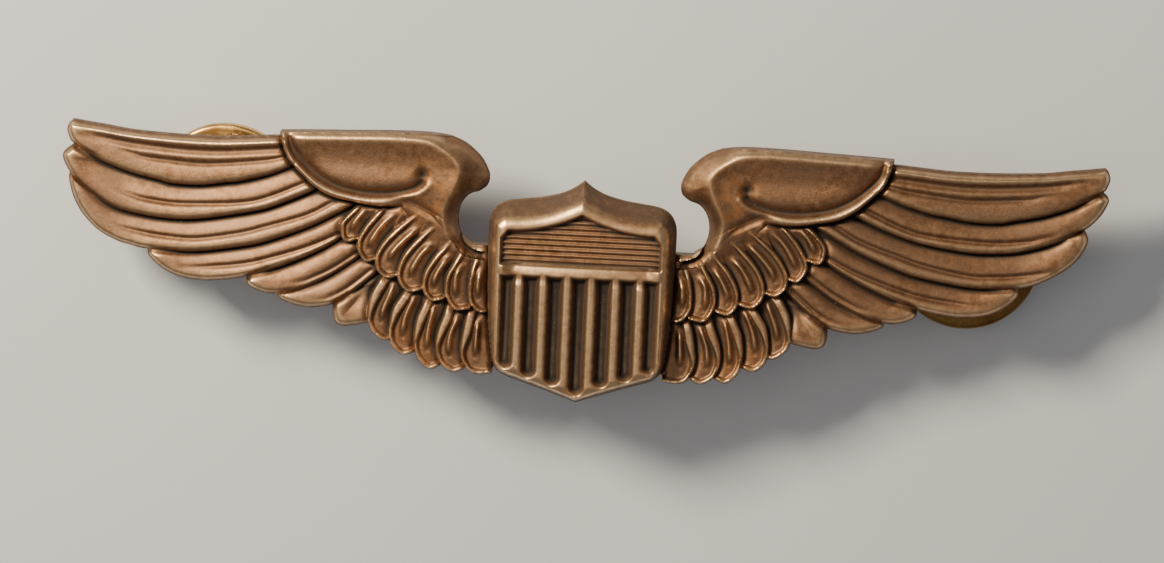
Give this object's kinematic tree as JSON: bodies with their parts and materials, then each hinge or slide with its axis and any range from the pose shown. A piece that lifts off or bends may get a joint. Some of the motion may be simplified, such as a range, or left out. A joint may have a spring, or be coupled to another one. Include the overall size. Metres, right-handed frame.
{
  "type": "pilot wings pin",
  "caption": "Struck metal aviator wings badge with a striped shield, held by two spring clutches on soldered posts.",
  "frame": {"origin": "middle of the badge's outline, on the surface that its clutches rest on", "axes": "+X along the span, +Y to the badge's top edge, +Z out of its front face"},
  "size_m": [0.0764, 0.0191, 0.0115],
  "materials": {
    "struck_silver": "struck relief, worn bright on the ridges and dark in the hollows",
    "post_brass": "drawn wire, dull",
    "solder": "dull tin solder",
    "clutch_brass": "stamped sheet, lightly tarnished",
    "spring_wire": "bright spring wire"
  },
  "bodies": {
    "badge": {"wing_plate": "struck_silver", "shield": "struck_silver", "left_post": "post_brass", "right_post": "post_brass", "left_post_solder": "solder", "right_post_solder": "solder"},
    "left_eyelet": {"left_clutch_eyelet": "clutch_brass"},
    "left_clutch": {"left_clutch_base": "clutch_brass", "left_clutch_cap": "clutch_brass", "left_clutch_spring": "spring_wire"},
    "left_front_finger": {"left_clutch_finger_front": "clutch_brass"},
    "left_rear_finger": {"left_clutch_finger_rear": "clutch_brass"},
    "right_eyelet": {"right_clutch_eyelet": "clutch_brass"},
    "right_clutch": {"right_clutch_base": "clutch_brass", "right_clutch_cap": "clutch_brass", "right_clutch_spring": "spring_wire"},
    "right_front_finger": {"right_clutch_finger_front": "clutch_brass"},
    "right_rear_finger": {"right_clutch_finger_rear": "clutch_brass"}
  },
  "joints": [
    {"name": "left_clutch_pull", "type": "slide", "parent": "badge", "child": "left_eyelet", "axis": [0, 0, -1], "range_m": [0, 0.012]},
    {"name": "left_clutch_spin", "type": "hinge", "parent": "left_eyelet", "child": "left_clutch", "pos_m": [-0.02655, 0.00345, 0.004], "axis": [0, 0, 1], "continuous": true},
    {"name": "left_front_squeeze", "type": "slide", "parent": "left_clutch", "child": "left_front_finger", "axis": [-0.9659, -0.2588, 0], "range_m": [0, 0.0006], "stiffness_N_per_m": 1500, "deforming": ["left_clutch_spring"]},
    {"name": "left_rear_squeeze", "type": "slide", "parent": "left_clutch", "child": "left_rear_finger", "axis": [0.9659, 0.2588, 0], "range_m": [0, 0.0006], "stiffness_N_per_m": 1500},
    {"name": "right_clutch_pull", "type": "slide", "parent": "badge", "child": "right_eyelet", "axis": [0, 0, -1], "range_m": [0, 0.012]},
    {"name": "right_clutch_spin", "type": "hinge", "parent": "right_eyelet", "child": "right_clutch", "pos_m": [0.02785, 0.00175, 0.004], "axis": [0, 0, 1], "continuous": true},
    {"name": "right_front_squeeze", "type": "slide", "parent": "right_clutch", "child": "right_front_finger", "axis": [0.9962, -0.0872, 0], "range_m": [0, 0.0006], "stiffness_N_per_m": 1500, "deforming": ["right_clutch_spring"]},
    {"name": "right_rear_squeeze", "type": "slide", "parent": "right_clutch", "child": "right_rear_finger", "axis": [-0.9962, 0.0872, 0], "range_m": [0, 0.0006], "stiffness_N_per_m": 1500}
  ],
  "couplings": [
    {"joint": "left_rear_squeeze", "follows": "left_front_squeeze", "ratio": 1},
    {"joint": "right_rear_squeeze", "follows": "right_front_squeeze", "ratio": 1}
  ]
}
